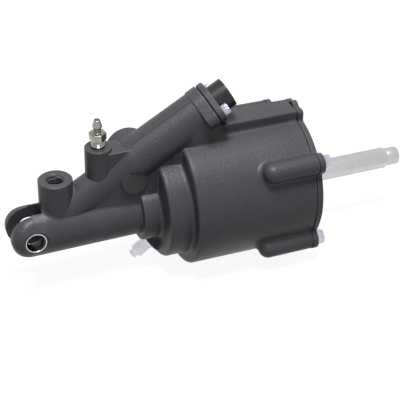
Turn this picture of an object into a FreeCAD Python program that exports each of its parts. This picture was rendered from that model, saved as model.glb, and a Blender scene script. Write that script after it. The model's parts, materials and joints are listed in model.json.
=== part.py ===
import math
import os

import FreeCAD
import Part

V = FreeCAD.Vector

# Pin joint of the fork, at the origin
pin_radius = 7.0
bush_wall = 1.0
bush_inset = 0.3
spot_face_radius = 9.4
spot_face_offset = 17.2
ear_end_radius = 16.5
ear_rounding = 8.0
slot_half_width = 7.0
slot_swing_radius = 16.8

# Hydraulic arm, on the X axis, with its bore and seal pocket
arm_radius_front = 19.2
arm_radius_rear = 18.4
neck_start = 80.0
neck_radius = 24.0
plunger_bore_radius = 13.0
plunger_bore_start = 23.5
seal_pocket_radius = 16.5
seal_pocket_start = 88.0
guide_bush_length = 7.0
lip_seal_length = 6.0
washer_thickness = 2.4
circlip_thickness = 1.6
circlip_groove_depth = 1.2
circlip_start = seal_pocket_start + guide_bush_length + lip_seal_length + washer_thickness

# Air cylinder and its step; their outsides sit a little above the bore axis
cylinder_start = 112.0
cylinder_end = 205.7
cylinder_radius = 53.2
cylinder_draft = 0.8
cylinder_rise = 4.5
air_bore_radius = cylinder_radius - 8.7
step_start = 94.0
step_radius = cylinder_radius - 11.6
step_rise = 2.5
rim_rounding = 2.5
spring_pocket_radius = step_radius - 5.6
spring_pocket_start = circlip_start + circlip_thickness + 1.0
air_bore_start = cylinder_start + 6.5

# Rear joint
joint_bolt_circle = cylinder_radius + 2.8
joint_bolt_angle = 37.0
lobe_radius = 7.5
boss_front = 163.5
gasket_thickness = 0.8
gasket_inset = 0.5
cover_thickness = 4.0
cover_proud = 0.4
cover_hole_radius = 19.0
cover_tab_radius = 5.0
cover_collar_wall = 4.0
cover_collar_height = 3.0

# Ports and bosses
port_x = 20.7
port_top = 39.8
port_boss_radius = 12.55
port_hole_radius = 6.2
port_hole_depth = 14.0
bleeder_x = 53.6
bleeder_top = 60.2
bleeder_boss_radius = 10.0
bleeder_thread_radius = 4.5
bleeder_hole_depth = 12.0

# Air port under the step: place of its mouth and how far its axis dips below -X
air_port_place = V(step_start - 3.5, 0.0, step_rise - step_radius + 7.2)
air_port_slope = 34.8
air_port_radius = 5.2
air_port_depth = 10.0
plug_flange_radius = 6.4

# Valve axis: up and to the rear in the XZ plane; stations along it are counted from its base
valve_tilt = 30.0
valve_base = V(1.0, 0.0, -1.732)
tube_radius_low = 13.0
tube_radius = 16.5
collar_radius = tube_radius + 0.9
collar_length = 8.5
control_bore_radius = 8.0
control_bore_start = 58.0
control_bore_length = 42.0
valve_bore_radius = 12.5
valve_bore_start = control_bore_start + control_bore_length

# Pieces along the valve bore, one after the other
graduating_length = 7.0
graduating_room = 9.0
graduating_start = valve_bore_start + 2.0
cage_start = graduating_start + graduating_length + graduating_room
cage_length = 24.0
poppet_seat = cage_start + 10.2
stem_gap = 1.5
guide_start = cage_start + cage_length
guide_length = 9.0
spigot_start = guide_start + guide_length
spigot_length = 6.5
tube_end = spigot_start + spigot_length
ring_groove_depth = 1.6
ring_groove_width = 1.8

# Valve end: gasket gap, plate, screws, exhaust neck and cap
flange_gap = 1.4
flange_plate = 4.5
flange_radius = tube_radius + 0.5
flange_screw_offset = tube_radius - 0.3
flange_room = 0.8
flange_ear_radius = 6.3
exhaust_neck_radius = 8.5
exhaust_cap_wall = 3.0
exhaust_cap_length = 12.2
flange_base = tube_end + flange_gap
flange_face = flange_base + flange_plate

# Web between arm, tube and cylinder, and the ridge on the cylinder
web_half_width = 14.5
web_taper = 3.0
web_taper_start = 105.0
gusset_taper = 8.0
gusset_taper_start = 120.0
upper_web_half_width = 9.0
ridge_start = 137.0
ridge_half_width = 10.5
ridge_top = cylinder_rise + cylinder_radius + 7.3

# Plug on the near side of the web, and the round boss on the far side
side_plug_x = 76.0
side_plug_z = 33.0
side_plug_radius = 9.8
side_plug_thickness = 2.6
side_plug_face = 14.7
far_boss_station = 91.5
far_boss_radius = 16.0
far_boss_face = 19.0

# Drillings inside the casting
gallery_radius = 2.0
gallery_x = step_start + 4.5
gallery_offset = 21.0
gallery_top = 33.5
bleed_drilling_radius = 1.6
delivery_drilling_radius = 2.5
delivery_x = spring_pocket_start + 3.5

# Plunger, power piston and pushrod, shown fully out
plunger_radius = 11.0
plunger_front = 68.0
piston_length = 29.7
piston_clearance = 0.1
piston_front_hub_radius = 17.0
piston_front_hub = 16.0
piston_rear_hub_radius = 18.5
piston_rear_hub = 16.0
piston_face = cylinder_end - piston_length
preload_spring_radius = spring_pocket_radius - 10.0
preload_wire_radius = 2.4
ball_radius = 9.95
ball_inset = 2.0
ball_gap = 0.1
keeper_pocket_radius = 13.0
keeper_thickness = 2.0
keeper_seat = 6.7
rod_radius = 8.0
rod_across_flats = 15.0
rod_neck_radius = 6.0
rod_end_radius = 7.3
rod_end_length = 12.0
rod_tip = 306.0
rod_window_radius = 12.4
ball_centre = piston_face + ball_inset
socket_floor = ball_centre - ball_radius - ball_gap - 2.0

# Screws, as the hole that the thread fills
bolt_thread_radius = 2.5
bolt_thread_length = 22.0
bolt_hole_radius = 3.3
bolt_across_flats = 10.0
screw_thread_radius = 2.1
screw_thread_length = 12.0
screw_hole_radius = 2.75
screw_head_radius = 4.25
bleeder_across_flats = 11.0

# Running and seating clearances, radial
running = 0.05
seal_gap = 0.02
plug_clearance = 0.2


def drum(radius, start, direction, length):
    return Part.makeCylinder(radius, length, V(*start), V(*direction))


def block(x0, x1, y0, y1, z0, z1):
    return Part.makeBox(x1 - x0, y1 - y0, z1 - z0, V(x0, y0, z0))


def joined(parts):
    body = parts[0]
    for piece in parts[1:]:
        body = body.fuse(piece)
    return body.removeSplitter()


def without(shape, cutters):
    for cutter in cutters:
        shape = shape.cut(cutter)
    return shape


def turned(profile):
    """Solid of revolution about Z from (radius, height) points."""
    points = [V(r, 0, h) for r, h in profile]
    face = Part.Face(Part.makePolygon(points + [points[0]]))
    return face.revolve(V(0, 0, 0), V(0, 0, 1), 360)


def plate_xz(points, half_width):
    corners = [V(x, -half_width, z) for x, z in points]
    face = Part.Face(Part.makePolygon(corners + [corners[0]]))
    return face.extrude(V(0, 2 * half_width, 0))


def placed(shape, base, turn):
    """Copy of a shape built on Z, turned about Y and moved to its base point."""
    moved = shape.copy()
    place = FreeCAD.Placement(base, FreeCAD.Rotation(V(0, 1, 0), turn))
    moved.Placement = place.multiply(shape.Placement)
    return moved


def along_x(shape, start=0.0, rise=0.0):
    """Move a shape built on Z to the X axis."""
    return placed(shape, V(start, 0, rise), 90)


def along_valve(shape):
    """Move a shape built on Z to the valve axis."""
    return placed(shape, valve_base, 90 - valve_tilt)


def at_air_port(shape):
    """Move a shape built on Z to the air port, Z pointing out of it."""
    return placed(shape, air_port_place, -90 - air_port_slope)


def rounded(shape, radius, chosen):
    return shape.makeFillet(radius, [edge for edge in shape.Edges if chosen(edge)])


def bevelled(shape, size, chosen):
    return shape.makeChamfer(size, [edge for edge in shape.Edges if chosen(edge)])


def ring_at(edge, radius, height):
    """Full circle of that radius around Z at that height."""
    curve = edge.Curve
    return (
        hasattr(curve, "Radius")
        and abs(curve.Radius - radius) < 0.01
        and abs(edge.CenterOfMass.z - height) < 0.01
    )


def hoop(edge, radius, x):
    """Circle of that radius around an axis along X."""
    curve = edge.Curve
    return (
        hasattr(curve, "Radius")
        and abs(curve.Radius - radius) < 0.01
        and abs(edge.CenterOfMass.x - x) < 0.01
    )


def on_drum(edge, radius, rise, slack):
    """The edge's ends lie on a cylinder about an axis along X."""
    return all(abs(math.hypot(v.Y, v.Z - rise) - radius) < slack for v in edge.Vertexes)


def span_x(edge):
    return edge.BoundBox.XLength


def hexagon(across_flats, height):
    reach = across_flats / 2 / math.cos(math.radians(30))
    angles = [math.radians(60 * k + 30) for k in range(6)]
    points = [V(reach * math.cos(a), reach * math.sin(a), 0) for a in angles]
    face = Part.Face(Part.makePolygon(points + [points[0]]))
    return face.extrude(V(0, 0, height))


def around(count):
    """Unit directions in the XY plane, evenly spaced."""
    angles = [2 * math.pi * k / count for k in range(count)]
    return [(math.cos(a), math.sin(a)) for a in angles]


def valve_point(station, offset):
    """Point in the XZ plane by its station along the valve axis and its height above it."""
    tilt = math.radians(valve_tilt)
    return (
        valve_base.x + station * math.cos(tilt) - offset * math.sin(tilt),
        valve_base.z + station * math.sin(tilt) + offset * math.cos(tilt),
    )


def bolt_places():
    places = []
    for side in (-1, 1):
        for level in (1, -1):
            angle = math.radians(joint_bolt_angle) * level
            y = side * joint_bolt_circle * math.cos(angle)
            places.append((y, cylinder_rise + joint_bolt_circle * math.sin(angle)))
    return places


def arm_and_fork():
    """Tapered round arm whose front end is shaped by the fork's round ears."""
    front = -arm_radius_front - 3
    rear = neck_start + 2
    arm = along_x(
        turned([(0, front), (arm_radius_front, front), (arm_radius_rear, rear), (0, rear)])
    )
    reach = arm_radius_front + 6
    round_end = drum(ear_end_radius, (0, -reach, 0), (0, 1, 0), 2 * reach)
    behind = block(0, rear + 3, -reach, reach, -reach, reach)
    arm = arm.common(round_end.fuse(behind)).removeSplitter()
    return rounded(
        arm, ear_rounding, lambda e: span_x(e) > 3 and e.BoundBox.XMax < ear_end_radius - 4
    )


def port_boss():
    port = Part.makeCone(port_boss_radius + 0.65, port_boss_radius, port_top, V(port_x, 0, 0))
    return bevelled(port, 0.6, lambda e: ring_at(e, port_boss_radius, port_top))


def at_port_foot(edge):
    """Crease where the port boss leaves the arm."""
    return (
        edge.Length > 20
        and edge.BoundBox.ZMin > 5
        and edge.BoundBox.ZMax < port_top - 10
        and all(
            abs(math.hypot(v.X - port_x, v.Y) - port_boss_radius - 0.4) < 0.6
            for v in edge.Vertexes
        )
    )


def bleeder_boss():
    foot = 18.0
    boss = Part.makeCone(
        bleeder_boss_radius + 0.8, bleeder_boss_radius, bleeder_top - foot, V(bleeder_x, 0, foot)
    )
    return bevelled(boss, 0.5, lambda e: ring_at(e, bleeder_boss_radius, bleeder_top))


def neck_and_cylinder():
    neck = turned(
        [
            (0, 0),
            (neck_radius - 2, 0),
            (neck_radius - 0.6, 0.7),
            (neck_radius, 2.2),
            (neck_radius, 20),
            (0, 20),
        ]
    )
    step_length = cylinder_start - step_start + 6
    step = rounded(
        turned([(0, 0), (step_radius, 0), (step_radius, step_length), (0, step_length)]),
        rim_rounding,
        lambda e: ring_at(e, step_radius, 0),
    )
    length = cylinder_end - cylinder_start
    front_radius = cylinder_radius - cylinder_draft
    cylinder = rounded(
        turned([(0, 0), (front_radius, 0), (cylinder_radius, length), (0, length)]),
        rim_rounding,
        lambda e: ring_at(e, front_radius, 0),
    )
    barrel = joined(
        [
            along_x(neck, neck_start),
            along_x(step, step_start, step_rise),
            along_x(cylinder, cylinder_start, cylinder_rise),
        ]
    )
    return rounded(
        barrel,
        rim_rounding,
        lambda e: hoop(e, neck_radius, step_start) or hoop(e, step_radius, cylinder_start),
    )


def bolt_bosses():
    """Four long bosses with round front ends, footed on the cylinder."""
    foot = -2 * lobe_radius
    middle = boss_front + lobe_radius
    pattern = joined(
        [
            drum(lobe_radius, (middle, 0, 0), (1, 0, 0), cylinder_end - middle),
            block(middle, cylinder_end, -lobe_radius, lobe_radius, foot, 0),
            drum(lobe_radius, (middle, 0, foot), (0, 0, 1), -foot),
            Part.makeSphere(lobe_radius, V(middle, 0, 0)),
        ]
    )
    bosses = []
    for y, z in bolt_places():
        boss = pattern.copy()
        outward = math.degrees(math.atan2(-y, z - cylinder_rise))
        boss.rotate(V(0, 0, 0), V(1, 0, 0), outward)
        boss.translate(V(0, y, z))
        bosses.append(boss)
    return bosses


def at_boss_foot(edge):
    """Crease where a bolt boss meets the cylinder's side."""
    return (
        boss_front - 5 < edge.BoundBox.XMin < cylinder_end - 0.5
        and edge.Length > 5
        and on_drum(edge, cylinder_radius, cylinder_rise, 1.0)
    )


def valve_tube():
    """Inclined tube: slim low end, cone, body, and an oblong collar for two screws."""
    cone_start = control_bore_start + 12
    cone_end = valve_bore_start - 8
    collar_start = tube_end - collar_length
    tube = turned(
        [
            (0, 28),
            (tube_radius_low, 28),
            (tube_radius_low, cone_start),
            (tube_radius, cone_end),
            (tube_radius, tube_end),
            (0, tube_end),
        ]
    )
    collar = eared_disc(collar_radius, flange_ear_radius - 0.3, collar_start, collar_length)
    collar = bevelled(collar, 0.6, lambda e: abs(e.CenterOfMass.z - collar_start) < 0.01)
    return along_valve(joined([tube, collar]))


def narrowed(plate, half_width, start, taper):
    """Cut a plate's two sides back towards the front, from its full width at start."""
    for side in (-1, 1):
        shave = block(-tube_end, tube_end, 0, tube_end, -tube_end, tube_end)
        shave.rotate(V(0, 0, 0), V(0, 0, 1), taper)
        shave.translate(V(start, half_width, 0))
        if side < 0:
            shave = shave.mirror(V(0, 0, 0), V(0, 1, 0))
        plate = plate.cut(shave)
    return plate


def main_web():
    """Wall between the arm, the tube and the air cylinder, narrower in front."""
    rear = tube_end - 3.0
    outline = [
        (port_x + 3.3, 3),
        valve_point(31, -2),
        valve_point(rear, -1),
        valve_point(rear, -41),
        (cylinder_start + 8, 22),
        (step_start + 4, 4),
    ]
    return narrowed(plate_xz(outline, web_half_width), web_half_width, web_taper_start, web_taper)


def gusset():
    """Foot of the tube on the air cylinder, as wide as the tube and narrower in front."""
    rear = tube_end - 2.5
    outline = [
        valve_point(rear - 50, -2),
        valve_point(rear, -1),
        valve_point(rear, -41),
        (cylinder_start + 8, 22),
    ]
    plate = plate_xz(outline, tube_radius)
    end_x = valve_point(rear, -21)[0]
    plate = rounded(
        plate,
        1.2,
        lambda e: abs(e.CenterOfMass.y) > tube_radius - 0.1 and abs(e.CenterOfMass.x - end_x) < 0.1,
    )
    return narrowed(plate, tube_radius, gusset_taper_start, gusset_taper)


def upper_web():
    """Thin wall from the bleeder's boss to the tube."""
    top = bleeder_top - 3.2
    outline = [
        (bleeder_x - 6.6, 28),
        (bleeder_x - 3.6, top),
        (bleeder_x + 26.4, top),
        (bleeder_x + 32.4, top - 7),
        (bleeder_x + 16.4, 28),
    ]
    return plate_xz(outline, upper_web_half_width)


def far_boss():
    x, z = valve_point(far_boss_station, 0.7)
    boss = drum(far_boss_radius, (x, 4, z), (0, 1, 0), far_boss_face - 4)
    return bevelled(
        boss, 1.2, lambda e: e.CenterOfMass.y > far_boss_face - 0.1 and len(e.Vertexes) == 1
    )


def ridge():
    top = block(
        ridge_start, cylinder_end, -ridge_half_width, ridge_half_width, 40, ridge_top
    )
    return rounded(
        top, 1.4, lambda e: e.CenterOfMass.z > ridge_top - 0.1 and abs(e.CenterOfMass.y) > 1
    )


def power_end():
    """Air cylinder with its bosses, ridge and web, each rounded into its side."""
    body = rounded(joined([neck_and_cylinder()] + bolt_bosses()), 4.0, at_boss_foot)
    body = rounded(
        joined([body, ridge()]),
        2.5,
        lambda e: span_x(e) > 30
        and on_drum(e, cylinder_radius, cylinder_rise, 1.0)
        and e.BoundBox.ZMin > cylinder_rise
        and abs(abs(e.CenterOfMass.y) - ridge_half_width) < 0.1,
    )
    return rounded(
        joined([body, main_web(), gusset()]),
        2.5,
        lambda e: span_x(e) > 20
        and on_drum(e, cylinder_radius, cylinder_rise, 1.2)
        and e.BoundBox.ZMin > cylinder_rise
        and abs(abs(e.CenterOfMass.y) - tube_radius) < 1.0,
    )


def housing_outside():
    arm_mean = (arm_radius_front + arm_radius_rear) / 2
    arm = rounded(joined([arm_and_fork(), port_boss()]), 3.0, at_port_foot)
    arm = rounded(
        joined([arm, main_web()]),
        3.0,
        lambda e: span_x(e) > 30
        and on_drum(e, arm_mean, 0, abs(arm_radius_front - arm_mean) + 0.6)
        and e.BoundBox.ZMin > 5,
    )
    air_boss = at_air_port(drum(air_port_radius + 4.8, (0, 0, -22), (0, 0, 1), 22))
    front_end = joined([arm, valve_tube(), upper_web(), bleeder_boss(), far_boss(), air_boss])
    flange_seat = along_valve(drum(flange_radius + flange_room, (0, 0, tube_end), (0, 0, 1), 20))
    plug_seat = at_air_port(drum(plug_flange_radius + flange_room, (0, 0, 0), (0, 0, 1), 12))
    return joined([front_end, power_end()]).cut(flange_seat).cut(plug_seat)


def fork_hollows():
    half = slot_half_width
    hollows = [
        drum(slot_swing_radius, (0, -half, 0), (0, 1, 0), 2 * half),
        block(-30, port_x - port_boss_radius, -half, half, 0, 25),
        block(-30, 0, -half, half, -25, 25),
        drum(pin_radius + bush_wall, (0, -30, 0), (0, 1, 0), 60),
    ]
    for side in (-1, 1):
        hollows.append(
            drum(spot_face_radius, (0, side * spot_face_offset, 0), (0, side, 0), 6)
        )
    return hollows


def port_hollows():
    """Hydraulic port with its feed, and the bleeder's seat with its drilling."""
    port_floor = port_top - port_hole_depth
    bleeder_floor = bleeder_top - bleeder_hole_depth
    feed_x = port_x + port_hole_radius - 1.7
    return [
        drum(port_hole_radius, (port_x, 0, port_floor), (0, 0, 1), port_hole_depth + 1),
        Part.makeCone(0, port_hole_radius, 3.4, V(port_x, 0, port_floor - 3.4)),
        Part.makeCone(
            port_hole_radius, port_hole_radius + 1.2, 1.2, V(port_x, 0, port_top - 1.2)
        ),
        drilled(bleed_drilling_radius, (feed_x, 0, port_floor + 1), (feed_x, 0, 4)),
        drum(bleeder_thread_radius, (bleeder_x, 0, bleeder_floor), (0, 0, 1), 14),
        Part.makeCone(
            bleed_drilling_radius, bleeder_thread_radius, 3, V(bleeder_x, 0, bleeder_floor - 3)
        ),
        Part.makeCone(
            bleeder_thread_radius,
            bleeder_thread_radius + 0.9,
            0.9,
            V(bleeder_x, 0, bleeder_top - 0.9),
        ),
        drilled(bleed_drilling_radius, (bleeder_x, 0, bleeder_floor - 2), (bleeder_x, 0, 4)),
    ]


def axial_hollow():
    """Arm bore, seal pocket with its circlip groove, spring pocket and air bore."""
    groove = seal_pocket_radius + circlip_groove_depth
    groove_end = circlip_start + circlip_thickness
    return along_x(
        turned(
            [
                (0, plunger_bore_start),
                (plunger_bore_radius, plunger_bore_start),
                (plunger_bore_radius, seal_pocket_start),
                (seal_pocket_radius, seal_pocket_start),
                (seal_pocket_radius, circlip_start),
                (groove, circlip_start),
                (groove, groove_end),
                (seal_pocket_radius, groove_end),
                (seal_pocket_radius, spring_pocket_start),
                (spring_pocket_radius, spring_pocket_start),
                (spring_pocket_radius, air_bore_start),
                (air_bore_radius, air_bore_start),
                (air_bore_radius, cylinder_end + 1),
                (0, cylinder_end + 1),
            ]
        )
    )


def valve_hole(radius, start, end):
    return along_valve(drum(radius, (0, 0, start), (0, 0, 1), end - start))


def valve_hollows():
    """Stepped valve bore and the screw holes of its end flange."""
    hollows = [
        valve_hole(control_bore_radius, control_bore_start, valve_bore_start),
        valve_hole(valve_bore_radius, valve_bore_start, tube_end + 1),
    ]
    for side in (-1, 1):
        y = side * flange_screw_offset
        depth = collar_length - 1.2
        start = tube_end - depth
        hollows.append(
            along_valve(drum(screw_thread_radius, (0, y, start), (0, 0, 1), depth + 1))
        )
    return hollows


def drilled(radius, start, end):
    """Straight drilling between two points."""
    run = V(*end).sub(V(*start))
    return Part.makeCylinder(radius, run.Length, V(*start), run)


def galleries():
    """Air port, supply drillings round the bore to the valve, and delivery to the cylinder."""
    slope = math.radians(air_port_slope)
    port_end = (
        gallery_x,
        0,
        air_port_place.z + (gallery_x - air_port_place.x) * math.tan(slope),
    )
    low = (gallery_x, gallery_offset, port_end[2])
    high = (gallery_x, gallery_offset, gallery_top)
    turn = (gallery_x - 0.5, 7, gallery_top - 1.5)
    into_valve = valve_point(cage_start + 10.6, -8.0)
    valve_rise = (delivery_x - valve_base.x) * math.tan(math.radians(valve_tilt))
    delivery_top = valve_base.z + valve_rise - valve_bore_radius + 1.3
    return [
        at_air_port(
            drum(air_port_radius, (0, 0, -air_port_depth), (0, 0, 1), air_port_depth + 1)
        ),
        drilled(gallery_radius, port_end, low),
        drilled(gallery_radius, (low[0], low[1], low[2] - 2), (high[0], high[1], high[2] + 2)),
        drilled(gallery_radius, (high[0], high[1] + 2, high[2]), (high[0], 6, high[2])),
        drilled(gallery_radius, turn, (into_valve[0], 7, into_valve[1])),
        drilled(
            delivery_drilling_radius,
            (delivery_x, -6, spring_pocket_radius - 3),
            (delivery_x, -6, delivery_top),
        ),
    ]


def main_housing():
    hollows = fork_hollows() + port_hollows() + [axial_hollow()] + valve_hollows() + galleries()
    hollows.append(
        drum(
            side_plug_radius,
            (side_plug_x, side_plug_thickness - side_plug_face, side_plug_z),
            (0, -1, 0),
            8,
        )
    )
    for y, z in bolt_places():
        start = cylinder_end - bolt_thread_length
        hollows.append(drum(bolt_thread_radius, (start, y, z), (1, 0, 0), 30))
    return without(housing_outside(), hollows)


def joint_outline(start, thickness, grow):
    """Rear joint outline: a circle with four lobes and a lug under the ridge."""
    end = start + thickness
    parts = [drum(cylinder_radius + grow, (start, 0, cylinder_rise), (1, 0, 0), thickness)]
    for y, z in bolt_places():
        parts.append(drum(lobe_radius + grow, (start, y, z), (1, 0, 0), thickness))
    half = ridge_half_width + 1.0 + grow
    parts.append(block(start, end, -half, half, 20, ridge_top - 0.4 + grow))
    return rounded(
        joined(parts),
        2.5,
        lambda e: abs(span_x(e) - thickness) < 0.01
        and e.BoundBox.YLength < 0.01
        and abs(e.CenterOfMass.z - cylinder_rise) > 8,
    )


def bolt_holes():
    return [drum(bolt_hole_radius, (cylinder_end - 1, y, z), (1, 0, 0), 30) for y, z in bolt_places()]


def rear_cover():
    start = cylinder_end + gasket_thickness
    cover = joint_outline(start, cover_thickness, cover_proud)
    collar = drum(
        cover_hole_radius + cover_collar_wall,
        (start, 0, 0),
        (1, 0, 0),
        cover_thickness + cover_collar_height,
    )
    tab = drum(cover_tab_radius, (start, 1.0, ridge_top - 2.5), (1, 0, 0), cover_thickness)
    hole = drum(cover_hole_radius, (start - 1, 0, 0), (1, 0, 0), 30)
    return without(joined([cover, collar, tab]), [hole] + bolt_holes()).removeSplitter()


def cover_gasket():
    gasket = joint_outline(cylinder_end, gasket_thickness, -gasket_inset)
    opening = drum(air_bore_radius + gasket_inset, (cylinder_end - 1, 0, 0), (1, 0, 0), 5)
    return without(gasket, [opening] + bolt_holes())


def cover_bolts():
    """Flanged hexagon bolts of the rear joint."""
    flange = turned([(0, 0), (6.6, 0), (6.6, 0.7), (5.0, 1.6), (0, 1.6)])
    crown = turned([(0, 0), (6.2, 0), (6.2, 5.3), (4.8, 6.4), (0, 6.4)])
    head = hexagon(bolt_across_flats, 6.4).common(crown)
    grip = gasket_thickness + cover_thickness
    length = bolt_thread_length + grip - 1
    shank = drum(bolt_thread_radius - running, (0, 0, -length), (0, 0, 1), length + 0.5)
    bolt = joined([flange, head, shank])
    bolts = []
    for y, z in bolt_places():
        one = along_x(bolt, cylinder_end + grip)
        one.translate(V(0, y, z))
        bolts.append(one)
    return Part.makeCompound(bolts)


def dust_ring():
    """Rubber ring in the cover's hole, with a lip towards the rod."""
    hole = cover_hole_radius - seal_gap
    height = cover_thickness + cover_collar_height
    ring = turned(
        [
            (rod_window_radius + 1.5, -1.2),
            (cover_hole_radius + 2.0, -1.2),
            (cover_hole_radius + 2.0, -seal_gap),
            (hole, -seal_gap),
            (hole, height),
            (cover_hole_radius - 3, height + 2),
            (rod_window_radius + 1, height + 4),
            (rod_window_radius, height + 3),
            (cover_hole_radius - 5, height - 0.5),
            (cover_hole_radius - 5, 1),
        ]
    )
    return along_x(ring, cylinder_end + gasket_thickness)


def clevis_bushes():
    start = slot_half_width + bush_inset
    outer = pin_radius + bush_wall
    bushes = []
    for turn in (90, -90):
        bush = turned(
            [
                (pin_radius, start + 0.4),
                (pin_radius + 0.3, start),
                (outer - 0.2, start),
                (outer, start + 0.3),
                (outer, spot_face_offset - 0.3),
                (outer - 0.2, spot_face_offset),
                (pin_radius + 0.3, spot_face_offset),
                (pin_radius, spot_face_offset - 0.4),
            ]
        )
        bush.rotate(V(0, 0, 0), V(1, 0, 0), turn)
        bushes.append(bush)
    return Part.makeCompound(bushes)


def bleed_screw():
    thread = bleeder_thread_radius - running
    seat = bleeder_hole_depth
    body = turned(
        [
            (0, -seat - 2.6),
            (bleed_drilling_radius, -seat - 2.6),
            (bleed_drilling_radius + 0.3, -seat - 2.2),
            (thread, 0.4 - seat),
            (thread, 0.9),
            (5.1, 0.9),
            (5.1, 6.0),
            (2.7, 6.0),
            (2.7, 15.4),
            (3.5, 15.8),
            (3.5, 17.3),
            (2.4, 19.6),
            (2.4, 21.2),
            (1.9, 21.6),
            (0, 21.6),
        ]
    )
    hex_body = hexagon(bleeder_across_flats, 5.5).common(
        turned([(0, 0), (5.6, 0), (6.35, 0.6), (6.35, 4.9), (5.6, 5.5), (0, 5.5)])
    )
    hex_body.translate(V(0, 0, 5.9))
    passage = [drum(1.2, (0, 0, -8), (0, 0, 1), 31), drum(0.9, (-8, 0, -8), (1, 0, 0), 16)]
    screw = without(body.fuse(hex_body), passage).removeSplitter()
    screw.translate(V(bleeder_x, 0, bleeder_top))
    return screw


def air_port_plug():
    """Transport plug: hollow shank in the port, flange, stem and stepped tip."""
    shank = air_port_radius - plug_clearance
    plug = turned(
        [
            (0, 1 - air_port_depth),
            (shank - 0.65, 1 - air_port_depth),
            (shank, 2 - air_port_depth),
            (shank, 0),
            (plug_flange_radius, 0),
            (plug_flange_radius, 1.6),
            (5.2, 2.0),
            (5.2, 12.6),
            (4.6, 13.2),
            (3.4, 13.2),
            (3.4, 16.6),
            (2.9, 17.1),
            (0, 17.1),
        ]
    )
    return at_air_port(plug.cut(drum(3.6, (0, 0, -air_port_depth), (0, 0, 1), air_port_depth + 2)))


def side_plug():
    inner = side_plug_thickness - side_plug_face
    plug = drum(
        side_plug_radius - seal_gap, (side_plug_x, inner, side_plug_z), (0, -1, 0), side_plug_thickness
    )
    return bevelled(
        plug, 0.5, lambda e: e.CenterOfMass.y < 0.1 - side_plug_face and len(e.Vertexes) == 1
    )


def eared_disc(radius, ear_radius, start, thickness):
    """Disc drawn out on both sides to a rounded ear for a screw."""
    parts = [drum(radius, (0, 0, start), (0, 0, 1), thickness)]
    lean = math.acos((radius - ear_radius) / flange_screw_offset)
    across, along = math.sin(lean), math.cos(lean)
    for side in (-1, 1):
        y = side * flange_screw_offset
        parts.append(drum(ear_radius, (0, y, start), (0, 0, 1), thickness))
        corners = [
            V(radius * across, side * radius * along, start),
            V(ear_radius * across, y + side * ear_radius * along, start),
            V(-ear_radius * across, y + side * ear_radius * along, start),
            V(-radius * across, side * radius * along, start),
        ]
        wing = Part.Face(Part.makePolygon(corners + [corners[0]]))
        parts.append(wing.extrude(V(0, 0, thickness)))
    return joined(parts)


def screw_holes():
    return [
        drum(screw_hole_radius, (0, side * flange_screw_offset, tube_end - 1), (0, 0, 1), 20)
        for side in (-1, 1)
    ]


def flange_gasket():
    gasket = eared_disc(flange_radius - 1.2, flange_ear_radius - 1.3, tube_end, flange_gap)
    opening = drum(valve_bore_radius, (0, 0, tube_end - 1), (0, 0, 1), 5)
    return along_valve(without(gasket, [opening] + screw_holes()))


def valve_flange():
    """Eared plate with a spigot into the bore and a neck for the exhaust cap."""
    plate = eared_disc(flange_radius, flange_ear_radius, flange_base, flange_plate)
    plate = bevelled(plate, 0.7, lambda e: abs(e.CenterOfMass.z - flange_face) < 0.01)
    spigot_radius = valve_bore_radius - running
    spigot = drum(spigot_radius, (0, 0, spigot_start), (0, 0, 1), flange_base + 1 - spigot_start)
    spigot = spigot.cut(drum(8.0, (0, 0, spigot_start - 1), (0, 0, 1), flange_base + 1 - spigot_start))
    neck = drum(exhaust_neck_radius, (0, 0, flange_base), (0, 0, 1), flange_plate + 5)
    passage = drum(exhaust_neck_radius - 2.5, (0, 0, spigot_start - 1), (0, 0, 1), 40)
    return along_valve(without(joined([plate, spigot, neck]), [passage] + screw_holes()))


def flange_screws():
    """Socket cap screws of the valve flange."""
    rim = screw_head_radius
    head = turned([(0, 0), (rim, 0), (rim, 4.6), (rim - 0.35, 5.0), (0, 5.0)])
    thread = screw_thread_radius - running
    length = screw_thread_length
    shank = drum(thread, (0, 0, -length), (0, 0, 1), length + 0.5)
    socket = hexagon(4.0, 3)
    socket.translate(V(0, 0, 2.4))
    screw = head.fuse(shank).cut(socket)
    screws = []
    for side in (-1, 1):
        one = screw.copy()
        one.translate(V(0, side * flange_screw_offset, flange_face))
        screws.append(along_valve(one))
    return Part.makeCompound(screws)


def exhaust_cap():
    """Cap pressed over the neck, with a recessed floor that has a ring of holes."""
    inner = exhaust_neck_radius + running
    rim = exhaust_neck_radius + exhaust_cap_wall
    top = flange_face + exhaust_cap_length
    floor = flange_face + exhaust_cap_length - 3.6
    cap = turned(
        [
            (inner, flange_face),
            (rim, flange_face),
            (rim, top - 0.6),
            (rim - 0.6, top),
            (rim - 1.9, top),
            (rim - 1.9, floor),
            (0, floor),
            (0, floor - 2),
            (inner, floor - 2),
        ]
    )
    holes = [drum(1.3, (4.4 * c, 4.4 * s, floor - 3), (0, 0, 1), 4) for c, s in around(6)]
    holes.append(drum(1.5, (0, 0, floor - 3), (0, 0, 1), 4))
    return along_valve(without(cap, holes))


def exhaust_flap():
    """Rubber mushroom held in the cap's middle hole."""
    floor = flange_face + exhaust_cap_length - 3.6
    flap = turned(
        [
            (0, floor - 3.6),
            (1.2, floor - 3.6),
            (2.1, floor - 2.3),
            (1.5 - seal_gap, floor - 2.1),
            (1.5 - seal_gap, floor),
            (7.0, floor),
            (7.0, floor + 0.6),
            (1.8, floor + 1.2),
            (0, floor + 1.2),
        ]
    )
    return along_valve(flap)


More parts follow.
